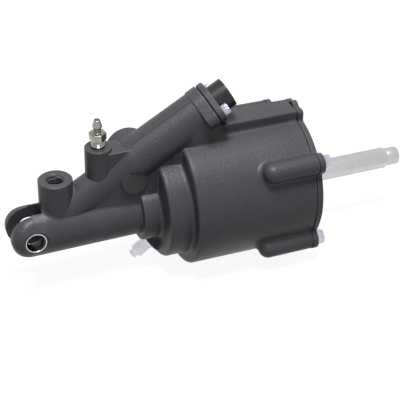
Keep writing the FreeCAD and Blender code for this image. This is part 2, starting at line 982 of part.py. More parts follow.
def coil(mean_radius, wire_radius, start, length, turns):
    """Compression spring on Z, its wire eight-sided and mitred at 16 joints a turn."""
    travel = length - 2 * wire_radius
    joints = round(16 * turns)
    turn = 2 * math.pi * turns / joints
    path = [
        V(
            mean_radius * math.cos(turn * k),
            mean_radius * math.sin(turn * k),
            start + wire_radius + travel * k / joints,
        )
        for k in range(joints + 1)
    ]
    runs = [(path[k + 1] - path[k]).normalize() for k in range(joints)]
    outward = V(1, 0, 0)
    upward = outward.cross(runs[0]).normalize()
    ring = [path[0] + outward * (wire_radius * c) + upward * (wire_radius * s) for c, s in around(8)]
    faces = [Part.Face(Part.makePolygon(ring + [ring[0]]))]
    for k in range(joints):
        end = path[k + 1]
        mitre = runs[k] + runs[min(k + 1, joints - 1)]
        far = [p + runs[k] * ((end - p).dot(mitre) / runs[k].dot(mitre)) for p in ring]
        for i in range(8):
            j = (i + 1) % 8
            faces.append(Part.Face(Part.makePolygon([ring[i], ring[j], far[j], far[i], ring[i]])))
        ring = far
    faces.append(Part.Face(Part.makePolygon(ring + [ring[0]])))
    return Part.makeSolid(Part.makeShell(faces))


def seal_ring(groove_radius, bore_radius, start, width):
    """Rubber ring with a crowned outside, filling its groove but for a small side gap."""
    crest = bore_radius - seal_gap
    return turned(
        [
            (groove_radius, start + 0.1),
            (crest - 0.2, start + 0.1),
            (crest, start + width / 2),
            (crest - 0.2, start + width - 0.1),
            (groove_radius, start + width - 0.1),
        ]
    )


def control_parts():
    """Hydraulic control piston with its seal, and the graduating piston that it pushes."""
    bore = control_bore_radius - running
    start = control_bore_start + 12
    shoulder = valve_bore_start - 2
    groove = control_bore_radius - 1.8
    control = turned(
        [
            (0, start),
            (bore - 1.45, start),
            (bore, start + 1),
            (bore, shoulder - 12),
            (groove, shoulder - 12),
            (groove, shoulder - 8),
            (bore, shoulder - 8),
            (bore, shoulder),
            (3.2, shoulder),
            (3.2, graduating_start),
            (0, graduating_start),
        ]
    )
    wide = valve_bore_radius - running
    wide_groove = valve_bore_radius - 1.9
    stem_top = poppet_seat - stem_gap
    end = graduating_start + graduating_length
    graduating = turned(
        [
            (0, graduating_start),
            (wide, graduating_start),
            (wide, graduating_start + 2.2),
            (wide_groove, graduating_start + 2.2),
            (wide_groove, graduating_start + 4.8),
            (wide, graduating_start + 4.8),
            (wide, end),
            (4.0, end),
            (4.0, stem_top),
            (3.2, stem_top),
            (3.2, stem_top - 2.5),
            (0, stem_top - 2.5),
        ]
    )
    return {
        "control_piston": control,
        "control_seal": seal_ring(groove, control_bore_radius, shoulder - 12, 4),
        "graduating_piston": graduating,
        "graduating_ring": seal_ring(wide_groove, valve_bore_radius, graduating_start + 2.2, 2.6),
        "graduating_spring": coil(7.6, 0.6, end, graduating_room, 3.5),
    }


def valve_cage():
    """Cage with the inlet seat in its middle, two ring grooves and cross holes."""
    bore = valve_bore_radius - running
    groove = valve_bore_radius - ring_groove_depth
    low, high = ring_groove_starts()
    seat = poppet_seat
    cage = turned(
        [
            (4.4, cage_start),
            (bore, cage_start),
            (bore, low),
            (groove, low),
            (groove, low + ring_groove_width),
            (bore, low + ring_groove_width),
            (bore, low + ring_groove_width + 0.6),
            (bore - 1.05, low + ring_groove_width + 0.6),
            (bore - 1.05, high - 1.4),
            (bore, high - 1.4),
            (bore, high),
            (groove, high),
            (groove, high + ring_groove_width),
            (bore, high + ring_groove_width),
            (bore, guide_start),
            (9.5, guide_start),
            (9.5, seat - 0.4),
            (6.9, seat - 0.4),
            (6.5, seat),
            (6.0, seat),
            (6.0, seat - 2.2),
            (9.0, seat - 4),
            (9.0, cage_start + 2.6),
            (4.4, cage_start + 2.6),
        ]
    )
    holes = []
    for c, s in around(4):
        holes.append(drum(1.1, (6.7 * c, 6.7 * s, cage_start - 1), (0, 0, 1), 5))
        holes.append(drum(1.6, (0, 0, seat + 4.8), (c, s, 0), valve_bore_radius + 2))
    return without(cage, holes)


def ring_groove_starts():
    return cage_start + 0.4, guide_start - 4.6


def cage_rings():
    groove = valve_bore_radius - ring_groove_depth
    return Part.makeCompound(
        [
            seal_ring(groove, valve_bore_radius, start, ring_groove_width)
            for start in ring_groove_starts()
        ]
    )


def poppet():
    seat = poppet_seat
    top = guide_start + 5
    return turned(
        [(2.6, seat), (7.6, seat), (7.6, seat + 2.6), (4.0, seat + 2.6), (4.0, top), (2.6, top)]
    )


def poppet_guide():
    bore = valve_bore_radius - running
    sleeve = 4.0 + running
    return turned(
        [
            (sleeve, guide_start),
            (bore, guide_start),
            (bore, spigot_start),
            (8.6, spigot_start),
            (8.6, guide_start + 4),
            (sleeve, guide_start + 4),
        ]
    )


def valve_parts():
    built = control_parts()
    built["valve_cage"] = valve_cage()
    built["cage_rings"] = cage_rings()
    built["poppet"] = poppet()
    built["poppet_guide"] = poppet_guide()
    spring_start = poppet_seat + 2.6
    built["poppet_spring"] = coil(5.4, 0.5, spring_start, guide_start - spring_start, 4)
    return {name: along_valve(shape) for name, shape in built.items()}


def power_piston():
    """Air piston with ring grooves, a front hub round the plunger and a ball socket behind."""
    face = piston_face
    outer = air_bore_radius - piston_clearance
    seal_groove = air_bore_radius - 3.3
    guide_groove = air_bore_radius - 1.9
    end = cylinder_end + gasket_thickness - 0.3
    keeper = ball_centre + keeper_seat
    piston = turned(
        [
            (plunger_radius, face - piston_front_hub),
            (piston_front_hub_radius, face - piston_front_hub),
            (piston_front_hub_radius, face),
            (outer, face),
            (outer, face + 3),
            (seal_groove, face + 3),
            (seal_groove, face + 7.6),
            (outer, face + 7.6),
            (outer, face + 11),
            (guide_groove, face + 11),
            (guide_groove, face + 21),
            (outer, face + 21),
            (outer, end),
            (outer - 4.4, end),
            (outer - 7.4, face + 10),
            (piston_rear_hub_radius, face + 10),
            (piston_rear_hub_radius, face + piston_rear_hub),
            (keeper_pocket_radius, face + piston_rear_hub),
            (keeper_pocket_radius, keeper),
            (0, keeper),
            (0, socket_floor),
            (plunger_radius, socket_floor),
        ]
    )
    socket = Part.makeSphere(ball_radius + ball_gap, V(0, 0, ball_centre))
    mouth = drum(ball_radius + ball_gap, (0, 0, ball_centre), (0, 0, 1), keeper_seat + 1)
    return without(piston, [socket, mouth])


def piston_rings():
    face = piston_face
    seal_groove = air_bore_radius - 3.3
    guide_groove = air_bore_radius - 1.9
    crest = air_bore_radius - seal_gap
    seal = turned(
        [
            (seal_groove, face + 3.2),
            (crest - 1.1, face + 3.2),
            (crest, face + 4.0),
            (crest, face + 5.6),
            (crest - 1.5, face + 7.4),
            (seal_groove, face + 7.4),
        ]
    )
    edge = air_bore_radius - running
    guide = turned(
        [
            (guide_groove, face + 11.1),
            (edge, face + 11.1),
            (edge, face + 20.9),
            (guide_groove, face + 20.9),
        ]
    )
    return {"piston_seal": seal, "piston_guide_ring": guide}


def rod_keeper():
    """Ring behind the ball that keeps the rod in its socket."""
    start = ball_centre + keeper_seat
    inner = 7.8
    outer = keeper_pocket_radius - seal_gap
    end = start + keeper_thickness
    return turned([(inner, start), (outer, start), (outer, end), (inner, end)])


def plunger():
    end = socket_floor
    return turned(
        [
            (0, plunger_front),
            (plunger_radius - 1.2, plunger_front),
            (plunger_radius, plunger_front + 1.2),
            (plunger_radius, end),
            (0, end),
        ]
    )


def arm_seal_parts():
    """Guide bush, lip seal, washer and circlip in the arm's rear pocket."""
    start = seal_pocket_start
    lip = start + guide_bush_length
    washer_start = lip + lip_seal_length
    pocket = seal_pocket_radius - seal_gap
    slide = plunger_radius + running
    bush = turned([(slide, start), (pocket, start), (pocket, lip), (slide, lip)])
    contact = plunger_radius + seal_gap
    seal = turned(
        [
            (contact + 1.2, lip),
            (pocket - 1.0, lip),
            (pocket, lip + 1),
            (pocket, washer_start),
            (contact, washer_start),
            (contact, lip + 1.2),
            (contact + 1.2, lip + 0.4),
        ]
    )
    loose = plunger_radius + 0.15
    washer = turned(
        [
            (loose, washer_start),
            (pocket, washer_start),
            (pocket, circlip_start),
            (loose, circlip_start),
        ]
    )
    inner = seal_pocket_radius - 2.2
    outer = seal_pocket_radius + circlip_groove_depth - 0.1
    end = circlip_start + circlip_thickness - 0.05
    circlip = turned(
        [(inner, circlip_start), (outer, circlip_start), (outer, end), (inner, end)]
    )
    circlip = circlip.cut(block(-3.5, 3.5, 0, 30, circlip_start - 1, end + 1))
    return {
        "guide_bush": bush,
        "plunger_seal": seal,
        "seal_washer": washer,
        "circlip": circlip,
    }


def pushrod():
    """Hexagonal rod with a ball at its front end and a plain round tip."""
    start = ball_centre + 2 * ball_radius
    bar = hexagon(rod_across_flats, rod_tip - rod_end_length - start)
    bar.translate(V(0, 0, start))
    bar = bar.common(drum(rod_radius, (0, 0, start - 1), (0, 0, 1), rod_tip - start))
    core = turned(
        [
            (0, ball_centre),
            (rod_neck_radius, ball_centre),
            (rod_neck_radius, ball_centre + 14),
            (rod_radius - 0.8, start),
            (rod_radius - 0.8, start + 4),
            (rod_end_radius, start + 4),
            (rod_end_radius, rod_tip - 1.2),
            (rod_end_radius - 1.2, rod_tip),
            (0, rod_tip),
        ]
    )
    ball = Part.makeSphere(ball_radius, V(0, 0, ball_centre))
    return joined([core, ball, bar])


def power_parts():
    built = {
        "power_piston": power_piston(),
        "rod_keeper": rod_keeper(),
        "plunger": plunger(),
        "preload_spring": coil(
            preload_spring_radius,
            preload_wire_radius,
            spring_pocket_start,
            piston_face - spring_pocket_start,
            5,
        ),
        "pushrod": pushrod(),
    }
    built.update(piston_rings())
    built.update(arm_seal_parts())
    return {name: along_x(shape) for name, shape in built.items()}


def all_nodes():
    nodes = {
        "main_housing": main_housing(),
        "clevis_bushes": clevis_bushes(),
        "bleed_screw": bleed_screw(),
        "air_port_plug": air_port_plug(),
        "side_plug": side_plug(),
        "flange_gasket": flange_gasket(),
        "valve_flange": valve_flange(),
        "flange_screws": flange_screws(),
        "exhaust_cap": exhaust_cap(),
        "exhaust_flap": exhaust_flap(),
        "rear_cover": rear_cover(),
        "cover_gasket": cover_gasket(),
        "cover_bolts": cover_bolts(),
        "dust_ring": dust_ring(),
    }
    nodes.update(valve_parts())
    nodes.update(power_parts())
    return nodes


os.makedirs("parts", exist_ok=True)
for name, shape in all_nodes().items():
    shape.exportStep("parts/" + name + ".step")
    box = shape.BoundBox
    print(
        f"{name:20s} {len(shape.Solids)} {shape.isValid()} {shape.Volume:9.1f}",
        f"x {box.XMin:.1f} {box.XMax:.1f} y {box.YMin:.1f} {box.YMax:.1f}",
        f"z {box.ZMin:.1f} {box.ZMax:.1f}",
    )
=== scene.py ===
import math

import bmesh
import bpy
from mathutils import Matrix, Vector
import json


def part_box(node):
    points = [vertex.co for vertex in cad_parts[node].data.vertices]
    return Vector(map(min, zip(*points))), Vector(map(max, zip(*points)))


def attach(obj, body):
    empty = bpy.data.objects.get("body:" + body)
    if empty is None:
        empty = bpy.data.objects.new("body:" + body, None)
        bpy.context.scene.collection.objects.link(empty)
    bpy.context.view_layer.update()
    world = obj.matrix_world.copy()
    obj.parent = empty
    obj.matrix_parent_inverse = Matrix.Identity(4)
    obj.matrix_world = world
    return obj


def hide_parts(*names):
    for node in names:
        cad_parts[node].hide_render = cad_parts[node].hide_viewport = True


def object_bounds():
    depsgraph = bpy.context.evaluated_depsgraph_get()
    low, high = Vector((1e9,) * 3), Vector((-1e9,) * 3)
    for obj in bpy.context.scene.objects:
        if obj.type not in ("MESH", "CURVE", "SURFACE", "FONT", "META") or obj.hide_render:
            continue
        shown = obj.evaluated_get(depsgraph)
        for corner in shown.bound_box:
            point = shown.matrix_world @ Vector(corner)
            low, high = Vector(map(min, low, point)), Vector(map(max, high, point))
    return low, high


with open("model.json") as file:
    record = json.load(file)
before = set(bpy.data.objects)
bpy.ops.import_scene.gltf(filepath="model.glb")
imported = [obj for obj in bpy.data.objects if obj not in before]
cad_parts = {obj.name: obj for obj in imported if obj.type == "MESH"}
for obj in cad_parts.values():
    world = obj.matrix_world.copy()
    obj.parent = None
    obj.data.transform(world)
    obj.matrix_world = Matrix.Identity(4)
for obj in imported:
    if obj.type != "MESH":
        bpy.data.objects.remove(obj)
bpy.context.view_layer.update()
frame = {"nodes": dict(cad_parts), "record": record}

print("frame loaded,", len(frame["nodes"]), "nodes")

mm = 0.001
zAxis = Vector((0, 0, 1))


# Places in the frame

def nodeBox(name):
    low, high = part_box(name)
    return Vector(low), Vector(high)


def mountOf(name):
    for mount in frame["record"]["mounts"]:
        if mount["name"] == name:
            return mount


clevis = mountOf("clevis_bore")
port = mountOf("hydraulic_port")
rodTip = mountOf("pushrod_tip")
valveTilt = math.radians(30)
valveBase = Vector((1.0, 0, -1.732)) * mm  # the point of the tube's axis nearest the pin
mergeWithin = 1e-6  # vertices closer than this become one


def standOn(origin, direction, turn=0.0):  # matrix that takes +Z to a direction and moves to an origin
    lift = zAxis.rotation_difference(Vector(direction)).to_matrix().to_4x4()
    return Matrix.Translation(origin) @ lift @ Matrix.Rotation(turn, 4, "Z")


def alongValve(station, side=0.0):  # matrix that takes +Z along the valve tube, in mm from its base
    direction = Vector((math.cos(valveTilt), 0, math.sin(valveTilt)))
    origin = valveBase + direction * station * mm + Vector((0, side * mm, 0))
    return Matrix.Translation(origin) @ Matrix.Rotation(math.pi / 2 - valveTilt, 4, "Y")


# Node groups shared by the materials

def nodeAt(tree, kind, x, y, **values):  # a value is a socket's, or else the node's own
    node = tree.nodes.new(kind)
    node.location = (x, y)
    for key, value in values.items():
        if key in node.inputs:
            node.inputs[key].default_value = value
        else:
            setattr(node, key, value)
    return node


def newGroup(name, inputs, outputs):
    group = bpy.data.node_groups.new(name, "ShaderNodeTree")
    for label, kind, value in inputs:
        socket = group.interface.new_socket(name=label, in_out="INPUT", socket_type=kind)
        socket.default_value = value
    for label, kind in outputs:
        group.interface.new_socket(name=label, in_out="OUTPUT", socket_type=kind)
    return group, group.nodes.new("NodeGroupInput"), group.nodes.new("NodeGroupOutput")


sandCast = {"pitShare": 0.42, "fineWeight": 0.7, "pitSoftness": 0.6, "specksFrom": 0.60, "specksTo": 0.78}


def makeSandGrain():
    inputs = [
        ("Grains per metre", "NodeSocketFloat", 1500.0),
        ("Patches per metre", "NodeSocketFloat", 28.0),
    ]
    outputs = [(label, "NodeSocketFloat") for label in ("Height", "Patches", "Specks")]
    group, source, sink = newGroup("sandGrain", inputs, outputs)
    link = group.links.new
    place = nodeAt(group, "ShaderNodeTexCoord", -900, 0)
    fine = nodeAt(group, "ShaderNodeTexNoise", -600, 200, Detail=3.0, Roughness=0.62)
    pitScale = nodeAt(group, "ShaderNodeMath", -800, -200, operation="MULTIPLY")
    pitScale.inputs[1].default_value = sandCast["pitShare"]
    pits = nodeAt(group, "ShaderNodeTexVoronoi", -600, -80, feature="SMOOTH_F1")
    pits.inputs["Smoothness"].default_value = sandCast["pitSoftness"]
    broad = nodeAt(group, "ShaderNodeTexNoise", -600, -360, Detail=4.0, Roughness=0.55)
    both = nodeAt(group, "ShaderNodeMath", -300, 100, operation="MULTIPLY_ADD")
    both.inputs[1].default_value = sandCast["fineWeight"]
    specks = nodeAt(group, "ShaderNodeMapRange", -300, -150)
    specks.inputs["From Min"].default_value = sandCast["specksFrom"]
    specks.inputs["From Max"].default_value = sandCast["specksTo"]
    link(source.outputs["Grains per metre"], fine.inputs["Scale"])
    link(source.outputs["Grains per metre"], pitScale.inputs[0])
    link(pitScale.outputs[0], pits.inputs["Scale"])
    link(source.outputs["Patches per metre"], broad.inputs["Scale"])
    for texture in (fine, pits, broad):
        link(place.outputs["Object"], texture.inputs["Vector"])
    link(fine.outputs["Fac"], both.inputs[0])
    link(pits.outputs["Distance"], both.inputs[2])
    link(fine.outputs["Fac"], specks.inputs["Value"])
    link(both.outputs[0], sink.inputs["Height"])
    link(broad.outputs["Fac"], sink.inputs["Patches"])
    link(specks.outputs[0], sink.inputs["Specks"])
    return group


def makeSoftEdge():  # rounds the normal at an edge, and gives a mask of the edge
    inputs = [("Radius", "NodeSocketFloat", 0.0006), ("Gain", "NodeSocketFloat", 3.0)]
    outputs = [("Edge", "NodeSocketFloat"), ("Normal", "NodeSocketVector")]
    group, source, sink = newGroup("softEdge", inputs, outputs)
    link = group.links.new
    bevel = nodeAt(group, "ShaderNodeBevel", -600, 0, samples=6)
    surface = nodeAt(group, "ShaderNodeNewGeometry", -600, -200)
    aligned = nodeAt(group, "ShaderNodeVectorMath", -400, -100, operation="DOT_PRODUCT")
    apart = nodeAt(group, "ShaderNodeMath", -200, -100, operation="SUBTRACT")
    apart.inputs[0].default_value = 1.0
    gain = nodeAt(group, "ShaderNodeMath", 0, -100, operation="MULTIPLY", use_clamp=True)
    link(source.outputs["Radius"], bevel.inputs["Radius"])
    link(bevel.outputs[0], aligned.inputs[0])
    link(surface.outputs["Normal"], aligned.inputs[1])
    link(aligned.outputs["Value"], apart.inputs[1])
    link(apart.outputs[0], gain.inputs[0])
    link(source.outputs["Gain"], gain.inputs[1])
    link(gain.outputs[0], sink.inputs["Edge"])
    link(bevel.outputs[0], sink.inputs["Normal"])
    return group


cloudsPerMetre = 90.0


def makeFineLines():
    inputs = [
        ("Lines per metre", "NodeSocketFloat", 3000.0),
        ("Stretch", "NodeSocketVector", (1.0, 1.0, 1.0)),
    ]
    outputs = [("Lines", "NodeSocketFloat"), ("Clouds", "NodeSocketFloat")]
    group, source, sink = newGroup("fineLines", inputs, outputs)
    link = group.links.new
    place = nodeAt(group, "ShaderNodeTexCoord", -900, 0)
    stretch = nodeAt(group, "ShaderNodeVectorMath", -700, 0, operation="MULTIPLY")
    lines = nodeAt(group, "ShaderNodeTexNoise", -450, 100, Detail=2.0, Roughness=0.5)
    clouds = nodeAt(group, "ShaderNodeTexNoise", -450, -200, Detail=3.0, Roughness=0.5)
    clouds.inputs["Scale"].default_value = cloudsPerMetre
    link(place.outputs["Object"], stretch.inputs[0])
    link(source.outputs["Stretch"], stretch.inputs[1])
    link(stretch.outputs[0], lines.inputs["Vector"])
    link(source.outputs["Lines per metre"], lines.inputs["Scale"])
    link(place.outputs["Object"], clouds.inputs["Vector"])
    link(lines.outputs["Fac"], sink.inputs["Lines"])
    link(clouds.outputs["Fac"], sink.inputs["Clouds"])
    return group


sandGrain = makeSandGrain()
softEdge = makeSoftEdge()
fineLines = makeFineLines()
print("node groups built")


# Materials

def newMaterial(name):
    material = bpy.data.materials.new(name)
    material.use_nodes = True
    tree = material.node_tree
    shader = tree.nodes["Principled BSDF"]
    return material, tree, shader


def groupAt(tree, group, x, y, **values):
    node = tree.nodes.new("ShaderNodeGroup")
    node.node_tree = group
    node.location = (x, y)
    for key, value in values.items():
        node.inputs[key.replace("_", " ")].default_value = value
    return node


def blendColours(tree, factor, low, high, x, y):  # each colour is a tuple or a socket
    mix = nodeAt(tree, "ShaderNodeMix", x, y, data_type="RGBA")
    tree.links.new(factor, mix.inputs["Factor"])
    for socket, colour in ((mix.inputs[6], low), (mix.inputs[7], high)):
        if isinstance(colour, tuple):
            socket.default_value = (*colour, 1.0)
        else:
            tree.links.new(colour, socket)
    return mix.outputs[2]


def mapTo(tree, value, low, high, x, y, fromLow=0.0, fromHigh=1.0):
    node = nodeAt(tree, "ShaderNodeMapRange", x, y)
    node.inputs["From Min"].default_value = fromLow
    node.inputs["From Max"].default_value = fromHigh
    node.inputs["To Min"].default_value = low
    node.inputs["To Max"].default_value = high
    tree.links.new(value, node.inputs["Value"])
    return node.outputs[0]


def bumpFrom(tree, height, strength, distance, normal, x, y):
    bump = nodeAt(tree, "ShaderNodeBump", x, y, Strength=strength, Distance=distance)
    tree.links.new(height, bump.inputs["Height"])
    tree.links.new(normal, bump.inputs["Normal"])
    return bump.outputs[0]


patchSpread = (0.3, 0.7)  # the noise levels between which one patch shades into the next

castLook = {
    "dark": (0.031, 0.031, 0.036),
    "light": (0.040, 0.040, 0.0465),
    # colour of the light specks, and also of the painted highlight along the edges
    "edge": (0.125, 0.125, 0.138),
    "roughLow": 0.36,
    "roughHigh": 0.48,
    "grains": 1500.0,
    "grainDepth": 0.00016,
    "grainStrength": 0.7,
    "edgeRadius": 0.0013,
    # strength of the painted edge highlight
    "edgeGain": 3.4,
    "specular": 0.24,
}


def makeCasting(name, look):
    material, tree, shader = newMaterial(name)
    link = tree.links.new
    grain = groupAt(tree, sandGrain, -900, 0, Grains_per_metre=look["grains"])
    edge = groupAt(tree, softEdge, -900, -300, Radius=look["edgeRadius"], Gain=look["edgeGain"])
    patches = mapTo(tree, grain.outputs["Patches"], 0.0, 1.0, -650, 100, *patchSpread)
    base = blendColours(tree, patches, look["dark"], look["light"], -450, 100)
    specked = blendColours(tree, grain.outputs["Specks"], base, look["edge"], -250, 100)
    # lightens the edges found by the edge mask: painted highlight where the edges catch the light
    edgeHighlighted = blendColours(tree, edge.outputs["Edge"], specked, look["edge"], -50, 100)
    link(edgeHighlighted, shader.inputs["Base Color"])
    roughHigh, roughLow = look["roughHigh"], look["roughLow"]
    rough = mapTo(tree, grain.outputs["Patches"], roughHigh, roughLow, -250, -100, *patchSpread)
    link(rough, shader.inputs["Roughness"])
    strength, depth = look["grainStrength"], look["grainDepth"]
    normal = bumpFrom(tree, grain.outputs["Height"], strength, depth, edge.outputs["Normal"], -250, -300)
    link(normal, shader.inputs["Normal"])
    shader.inputs["Specular IOR Level"].default_value = look["specular"]
    return material


metalLook = {
    "zinc": {
        "base": (0.58, 0.62, 0.68), "deep": (0.26, 0.30, 0.36),
        "rough": (0.12, 0.24), "lines": 1800.0,
    },
    "nickel": {
        "base": (0.40, 0.385, 0.35), "deep": (0.17, 0.16, 0.13),
        "rough": (0.16, 0.30), "lines": 3200.0,
    },
    # socket: dark colour for the hex socket, painted shade of the recess
    "socket": {
        "base": (0.10, 0.10, 0.11), "deep": (0.05, 0.05, 0.055),
        "rough": (0.35, 0.50), "lines": 2600.0,
    },
    "darkBore": {
        "base": (0.070, 0.068, 0.064), "deep": (0.035, 0.034, 0.032),
        "rough": (0.30, 0.45), "lines": 2600.0,
    },
    "rod": {
        "base": (0.54, 0.54, 0.55), "deep": (0.48, 0.48, 0.49),
        "rough": (0.24, 0.30), "lines": 700.0,
    },
    "bush": {
        "base": (0.72, 0.70, 0.65), "deep": (0.52, 0.50, 0.45),
        "rough": (0.28, 0.42), "lines": 2600.0,
    },
    "ground": {
        "base": (0.58, 0.58, 0.60), "deep": (0.44, 0.44, 0.46),
        "rough": (0.12, 0.22), "lines": 4200.0,
    },
    "alloy": {
        "base": (0.70, 0.70, 0.71), "deep": (0.55, 0.55, 0.57),
        "rough": (0.24, 0.38), "lines": 2400.0,
    },
    "spring": {
        "base": (0.30, 0.30, 0.32), "deep": (0.16, 0.16, 0.18),
        "rough": (0.28, 0.44), "lines": 1800.0,
    },
}


metalFinish = {
    "edgeGain": 2.0,
    "cloudSpread": (0.35, 0.68),
    "lineShare": 0.5,
    "lineStrength": 0.25,
    "lineDepth": 0.00001,
}


def makeMetal(name, look, stretch=(1.0, 1.0, 1.0), edgeRadius=0.0003):
    material, tree, shader = newMaterial(name)
    link = tree.links.new
    lines = groupAt(tree, fineLines, -900, 0, Lines_per_metre=look["lines"], Stretch=stretch)
    edge = groupAt(tree, softEdge, -900, -300, Radius=edgeRadius, Gain=metalFinish["edgeGain"])
    clouds = mapTo(tree, lines.outputs["Clouds"], 0.0, 1.0, -650, 100, *metalFinish["cloudSpread"])
    base = blendColours(tree, clouds, look["deep"], look["base"], -450, 100)
    lineMask = mapTo(tree, lines.outputs["Lines"], 0.0, metalFinish["lineShare"], -650, 300)
    link(blendColours(tree, lineMask, base, look["base"], -250, 100), shader.inputs["Base Color"])
    roughLow, roughHigh = look["rough"]
    rough = mapTo(tree, lines.outputs["Lines"], roughLow, roughHigh, -250, -100)
    link(rough, shader.inputs["Roughness"])
    strength, depth = metalFinish["lineStrength"], metalFinish["lineDepth"]
    normal = bumpFrom(tree, lines.outputs["Lines"], strength, depth, edge.outputs["Normal"], -250, -300)
    link(normal, shader.inputs["Normal"])
    shader.inputs["Metallic"].default_value = 1.0
    return material


softLook = {
    "rubber": {
        "low": (0.012, 0.012, 0.012), "high": (0.030, 0.030, 0.031),
        "rough": (0.62, 0.85), "spec": 0.3,
    },
    "fibre": {
        "low": (0.010, 0.010, 0.011), "high": (0.026, 0.026, 0.028),
        "rough": (0.70, 0.90), "spec": 0.2,
    },
    "gloss": {
        "low": (0.008, 0.008, 0.009), "high": (0.013, 0.013, 0.015),
        "rough": (0.24, 0.34), "spec": 0.3,
    },
    "bearing": {
        "low": (0.40, 0.34, 0.24), "high": (0.52, 0.46, 0.34),
        "rough": (0.42, 0.56), "spec": 0.4,
    },
}


mouldedFinish = {"edgeRadius": 0.0004, "edgeGain": 1.5, "grainStrength": 0.4}


def makeMoulded(name, look, grains=900.0, depth=0.00004):
    material, tree, shader = newMaterial(name)
    link = tree.links.new
    grain = groupAt(tree, sandGrain, -900, 0, Grains_per_metre=grains)
    edgeRadius, edgeGain = mouldedFinish["edgeRadius"], mouldedFinish["edgeGain"]
    edge = groupAt(tree, softEdge, -900, -300, Radius=edgeRadius, Gain=edgeGain)
    patches = mapTo(tree, grain.outputs["Patches"], 0.0, 1.0, -650, 100, *patchSpread)
    link(blendColours(tree, patches, look["low"], look["high"], -250, 100), shader.inputs["Base Color"])
    roughLow, roughHigh = look["rough"]
    rough = mapTo(tree, grain.outputs["Height"], roughLow, roughHigh, -250, -100)
    link(rough, shader.inputs["Roughness"])
    strength = mouldedFinish["grainStrength"]
    normal = bumpFrom(tree, grain.outputs["Height"], strength, depth, edge.outputs["Normal"], -250, -300)
    link(normal, shader.inputs["Normal"])
    shader.inputs["Specular IOR Level"].default_value = look["spec"]
    return material


plugLook = {
    "low": (0.80, 0.80, 0.84),
    "high": (0.88, 0.88, 0.92),
    "rough": (0.30, 0.44),
    "grains": 500.0,
    "patches": 160.0,
    "transmission": 0.12,
    # glow: emission that brightens the plug, painted light since the plug is no lamp
    "glow": 0.30,
    "paintedGlowColour": (0.9, 0.9, 0.95, 1),
    "ior": 1.5,
}


def makeClearPlastic(name, look):
    material, tree, shader = newMaterial(name)
    link = tree.links.new
    grains, patches = look["grains"], look["patches"]
    grain = groupAt(tree, sandGrain, -900, 0, Grains_per_metre=grains, Patches_per_metre=patches)
    patches = mapTo(tree, grain.outputs["Patches"], 0.0, 1.0, -650, 100, *patchSpread)
    link(blendColours(tree, patches, look["low"], look["high"], -250, 100), shader.inputs["Base Color"])
    roughLow, roughHigh = look["rough"]
    rough = mapTo(tree, grain.outputs["Patches"], roughLow, roughHigh, -250, -100)
    link(rough, shader.inputs["Roughness"])
    shader.inputs["Transmission Weight"].default_value = look["transmission"]
    # the emission is painted light that makes the plug read whiter
    shader.inputs["Emission Color"].default_value = look["paintedGlowColour"]
    shader.inputs["Emission Strength"].default_value = look["glow"]
    shader.inputs["IOR"].default_value = look["ior"]
    return material


casting = makeCasting("coatedCasting", castLook)
flangeCasting = makeCasting("flangeCoating", {**castLook, "grainDepth": 0.00008, "edgeRadius": 0.0006})
zinc = makeMetal("brightZinc", metalLook["zinc"])
nickel = makeMetal("nickelPlate", metalLook["nickel"])
rodMetal = makeMetal("drawnBar", metalLook["rod"], stretch=(0.02, 1.0, 1.0), edgeRadius=0.0006)
bushMetal = makeMetal("bushSteel", metalLook["bush"])
darkerBoreMetal = makeMetal("darkerBoreMetal", metalLook["darkBore"])
paintedSocketShade = makeMetal("paintedSocketShade", metalLook["socket"])
groundMetal = makeMetal("groundSteel", metalLook["ground"])
alloy = makeMetal("machinedAlloy", metalLook["alloy"])
springMetal = makeMetal("springWire", metalLook["spring"], edgeRadius=0.001)
rubber = makeMoulded("mattRubber", softLook["rubber"])
fibre = makeMoulded("gasketFibre", softLook["fibre"])
glossBlack = makeMoulded("glossMoulding", softLook["gloss"], grains=300.0, depth=0.00001)
bearing = makeMoulded("bearingPlastic", softLook["bearing"])
clearPlastic = makeClearPlastic("clearPlastic", plugLook)
print("materials built")

slotMaterials = {
    "coated_casting": casting,
    "bush_steel": bushMetal,
    "nickel_steel": nickel,
    "clear_plastic": clearPlastic,
    "gasket_fibre": fibre,
    "zinc_steel": zinc,
    "black_gloss": glossBlack,
    "black_rubber": rubber,
    "bare_aluminium": alloy,
    "spring_steel": springMetal,
    "guide_plastic": bearing,
    "ground_steel": groundMetal,
    "rod_steel": rodMetal,
}
nodeSlots = {part["node"]: part["material_slot"] for part in frame["record"]["subparts"]}


cadSmoothing = {"mergeWithin": 2e-6, "sharpOver": 28.0}


def makeSmoother():  # merges a CAD mesh's loose triangles and keeps its steep edges sharp
    group = bpy.data.node_groups.new("smoothCad", "GeometryNodeTree")
    group.interface.new_socket(name="Geometry", in_out="INPUT", socket_type="NodeSocketGeometry")
    group.interface.new_socket(name="Geometry", in_out="OUTPUT", socket_type="NodeSocketGeometry")
    source = group.nodes.new("NodeGroupInput")
    sink = group.nodes.new("NodeGroupOutput")
    merge = group.nodes.new("GeometryNodeMergeByDistance")
    merge.inputs["Distance"].default_value = cadSmoothing["mergeWithin"]
    smooth = group.nodes.new("GeometryNodeSetShadeSmooth")
    smooth.domain = "FACE"
    smooth.inputs["Shade Smooth"].default_value = True
    angle = group.nodes.new("GeometryNodeInputMeshEdgeAngle")
    limit = group.nodes.new("FunctionNodeCompare")
    limit.operation = "LESS_EQUAL"
    limit.inputs[1].default_value = math.radians(cadSmoothing["sharpOver"])
    sharp = group.nodes.new("GeometryNodeSetShadeSmooth")
    sharp.domain = "EDGE"
    link = group.links.new
    link(source.outputs[0], merge.inputs["Geometry"])
    link(merge.outputs["Geometry"], smooth.inputs["Geometry"])
    link(smooth.outputs["Geometry"], sharp.inputs["Geometry"])
    link(angle.outputs["Unsigned Angle"], limit.inputs[0])
    link(limit.outputs["Result"], sharp.inputs["Shade Smooth"])
    link(sharp.outputs["Geometry"], sink.inputs[0])
    return group


smoothCad = makeSmoother()


